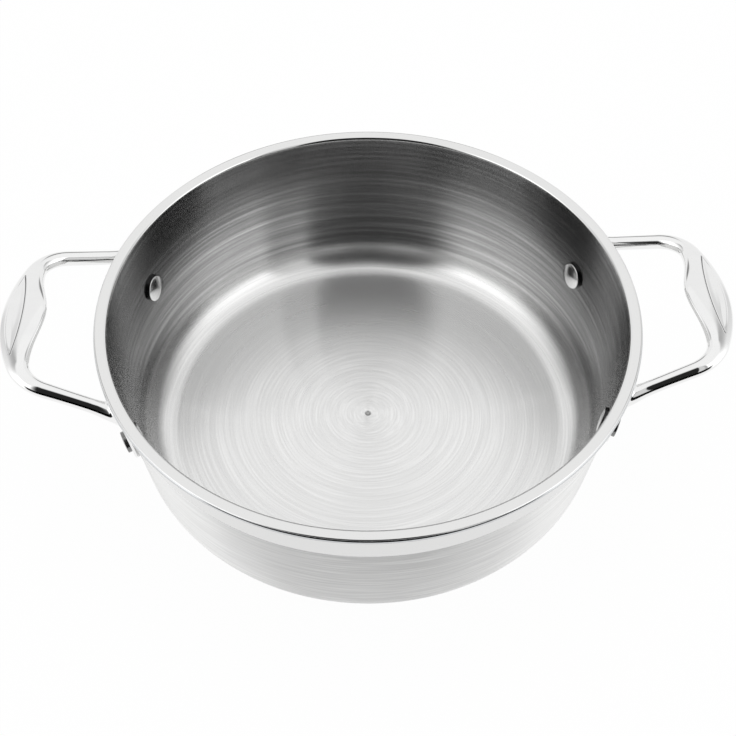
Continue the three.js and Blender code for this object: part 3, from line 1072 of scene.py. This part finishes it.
@dataclass
class Studio:
    """A white floor, a bright surround that is dark towards the camera, and an overhead lamp.

    In the surround, facing runs from 1 towards the camera to -1 away from it, and height is the
    sine of the angle above the ground. A card says where a change begins and ends, and the levels
    before and after it.
    """

    floor_radius: float = 0.7
    floor_back: float = 0.42
    floor_white: Colour = (0.9, 0.9, 0.9)
    floor_glow: float = 0.97
    lamp_height: float = 1.5
    lamp_size: float = 1.6
    lamp_power: float = 5.0
    lamp_back: float = 0.2
    right_cards: tuple[Card, ...] = ((0.66, 0.71, 1.55, 0.45), (0.735, 0.785, 0.0, 0.25),
                                     (0.88, 0.905, 0.0, -0.68))
    left_card: Card = (0.62, 0.86, 1.55, 0.02)
    left_to_right: Band = (-0.05, 0.05)
    low_gap_height: Card = (0.10, 0.24, 0.99, 0.0)
    low_gap_facing: Band = (0.45, 0.60)
    flank_height: Card = (0.30, 0.62, 0.75, 0.45)
    back_level: float = 0.95
    back_gap_foot: Band = (0.16, 0.22)
    back_gap_top: Card = (0.44, 0.52, 1.0, 0.0)
    back_gap_facing: Card = (-0.985, -0.95, 0.7, 0.0)
    back_to_flank: Band = (-0.72, -0.62)
    behind_to_ahead: Band = (-0.70, 0.45)
    front_facing: Band = (0.58, 0.84)
    overhead: Band = (0.66, 0.75)
    overhead_in_front: Band = (0.93, 1.0)

    def floor(self) -> None:
        """Lays the floor, which shows white and keeps the pot's soft shadow."""
        shape = bmesh.new()
        bmesh.ops.create_circle(shape, cap_ends=True, radius=self.floor_radius, segments=64)
        bmesh.ops.translate(shape, vec=(0.0, self.floor_back, 0.0), verts=shape.verts)
        material, graph = blank("floor_white")
        path = graph.node("ShaderNodeLightPath")
        seen = graph.math("MAXIMUM", Signal(graph, path.outputs["Is Camera Ray"]),
                          Signal(graph, path.outputs["Is Glossy Ray"]))
        matt = graph.node("ShaderNodeBsdfDiffuse", None, {"Color": (*self.floor_white, 1.0)})
        glow = graph.node("ShaderNodeEmission", None, {"Color": WHITE, "Strength": 1.0})
        surface = graph.node("ShaderNodeMixShader", None,
                             {0: seen * self.floor_glow, 1: matt.outputs[0], 2: glow.outputs[0]})
        graph.node("ShaderNodeOutputMaterial", None, {"Surface": surface.outputs[0]})
        floor = linked("studio_floor", shape, material)

    def surround(self) -> None:
        """Sets the world: white to the camera, and a studio with a dark front to the metal."""
        world = bpy.data.worlds.new("studio_surround")
        bpy.context.scene.world = world
        world.use_nodes = True
        graph = Graph(world.node_tree)
        x, y, z = graph.place("Generated")
        flat = graph.length(x, y) + TINY
        facing = -y / flat
        right = total([graph.step(facing, *card) for card in self.right_cards])
        left = graph.step(facing, *self.left_card)
        low_gap = graph.step(z, *self.low_gap_height) * graph.step(facing, *self.low_gap_facing)
        boxes = blend(left, right, graph.step(x / flat, *self.left_to_right)) * (1.0 - low_gap)
        flank = graph.step(z, *self.flank_height)
        back_gap = graph.step(z, *self.back_gap_foot) * graph.step(z, *self.back_gap_top)
        back = self.back_level - back_gap * graph.step(facing, *self.back_gap_facing)
        behind = blend(back, flank, graph.step(facing, *self.back_to_flank))
        low = blend(behind, boxes, graph.step(facing, *self.behind_to_ahead))
        front = graph.step(facing, *self.front_facing)
        bounds = (blend(*ends, front) for ends in zip(self.overhead, self.overhead_in_front))
        level = blend(low, 1.0, graph.step(z, *bounds))
        room = graph.node("ShaderNodeBackground", None, {"Color": WHITE, "Strength": level})
        white = graph.node("ShaderNodeBackground", None, {"Color": WHITE, "Strength": 1.0})
        path = graph.node("ShaderNodeLightPath")
        surface = graph.node("ShaderNodeMixShader", None,
                             {0: path.outputs["Is Camera Ray"],
                              1: room.outputs[0], 2: white.outputs[0]})
        graph.node("ShaderNodeOutputWorld", None, {"Surface": surface.outputs[0]})

    def lamp(self) -> None:
        """Hangs the overhead lamp."""
        light = bpy.data.lights.new("overhead_softbox", "AREA")
        light.shape = "DISK"
        light.size = self.lamp_size
        light.energy = self.lamp_power
        lamp = bpy.data.objects.new("overhead_softbox", light)
        lamp.location = (0.0, self.lamp_back, self.lamp_height)
        lamp.visible_glossy = False
        bpy.context.scene.collection.objects.link(lamp)

    def build(self) -> None:
        """Builds the floor, the surround and the lamp."""
        self.floor()
        self.surround()
        self.lamp()


@dataclass
class PhotoCamera:
    """The camera at the photograph's viewing angle, in millimetres and degrees."""

    place: Vector = field(default_factory=lambda: Vector((-15.81, -391.94, 518.32)))
    down: float = 50.53
    yaw: float = 2.31
    focal_pixels: float = 1164.0
    sensor: float = 36.0

    def build(self) -> None:
        """Makes the camera and gives it to the scene."""
        data = bpy.data.cameras.new("photo_camera")
        data.sensor_width = self.sensor
        data.lens = self.sensor * self.focal_pixels / PHOTO_SIDE
        camera = bpy.data.objects.new("photo_camera", data)
        camera.location = self.place * MM
        camera.rotation_euler = (radians(90.0 - self.down), 0.0, radians(-self.yaw))
        bpy.context.scene.collection.objects.link(camera)
        bpy.context.scene.camera = camera


def main() -> None:
    """Builds the pot, the studio and the camera."""
    logging.basicConfig(level=logging.INFO)
    bpy.context.scene.view_settings.view_transform = "Standard"
    PhotoCamera().build()
    bowl = Bowl()
    rim = bowl.rim_height * MM
    # The inside's wall and top are painted darker than its floor: painted shade.
    interior = SpunSteel(
        name="spun_interior_steel", floor_tint=(0.90, 0.90, 0.895), painted_shade_wall_tint=(0.57, 0.57, 0.57),
        painted_shade_top_tint=(0.33, 0.33, 0.33), floor_contrast=0.09, wall_contrast=0.4, streak_turns=0.8,
        wall_pitch=0.5, floor_roughness=0.26, roughness=0.13, roughness_swing=0.05,
        polish_from=rim - 0.0018, polish_fade=0.0004, polish_tint=(0.79, 0.79, 0.785),
        polish_roughness=0.06, streak_depth=0.000006)
    outer_tint = (0.86, 0.86, 0.855)
    exterior = SpunSteel(
        name="brushed_exterior_steel", floor_tint=outer_tint, painted_shade_wall_tint=outer_tint,
        painted_shade_top_tint=outer_tint, floor_contrast=0.15, wall_contrast=0.15, streak_turns=2.2,
        wall_pitch=1.0, floor_roughness=0.38, roughness=0.38, roughness_swing=0.08,
        polish_from=rim - 0.0225, polish_fade=0.0008, polish_tint=(0.72, 0.72, 0.715),
        polish_roughness=0.07, streak_depth=0.00001)
    core = TurnedAluminium(name="core_aluminium_edge", tint=(0.68, 0.69, 0.70),
                           shade=(0.56, 0.57, 0.58), roughness=0.10)
    polish = PolishedSteel(name="polished_cast_steel", tint=(0.90, 0.90, 0.895),
                           shade=(0.84, 0.84, 0.84), roughness=0.05, ripple_depth=0.00004)
    set_rivets = PolishedSteel(name="polished_rivet_steel", tint=(0.88, 0.88, 0.875),
                               shade=(0.80, 0.80, 0.80), roughness=0.06, ripple_depth=0.00002)
    bowl.build(interior.material(), core.material(), exterior.material())
    rivet = Rivet(bowl)
    handle = Handle(bowl, rivet)
    polished = polish.material(handle.painted_shade_share)
    riveted = set_rivets.material(rivet.painted_shade_share)
    cast = handle.shape()
    for side in Side:
        handle.build(side, cast, polished)
        rivet.build(side, handle.pad_face, riveted)
    Studio().build()


if __name__ == "__main__":
    main()
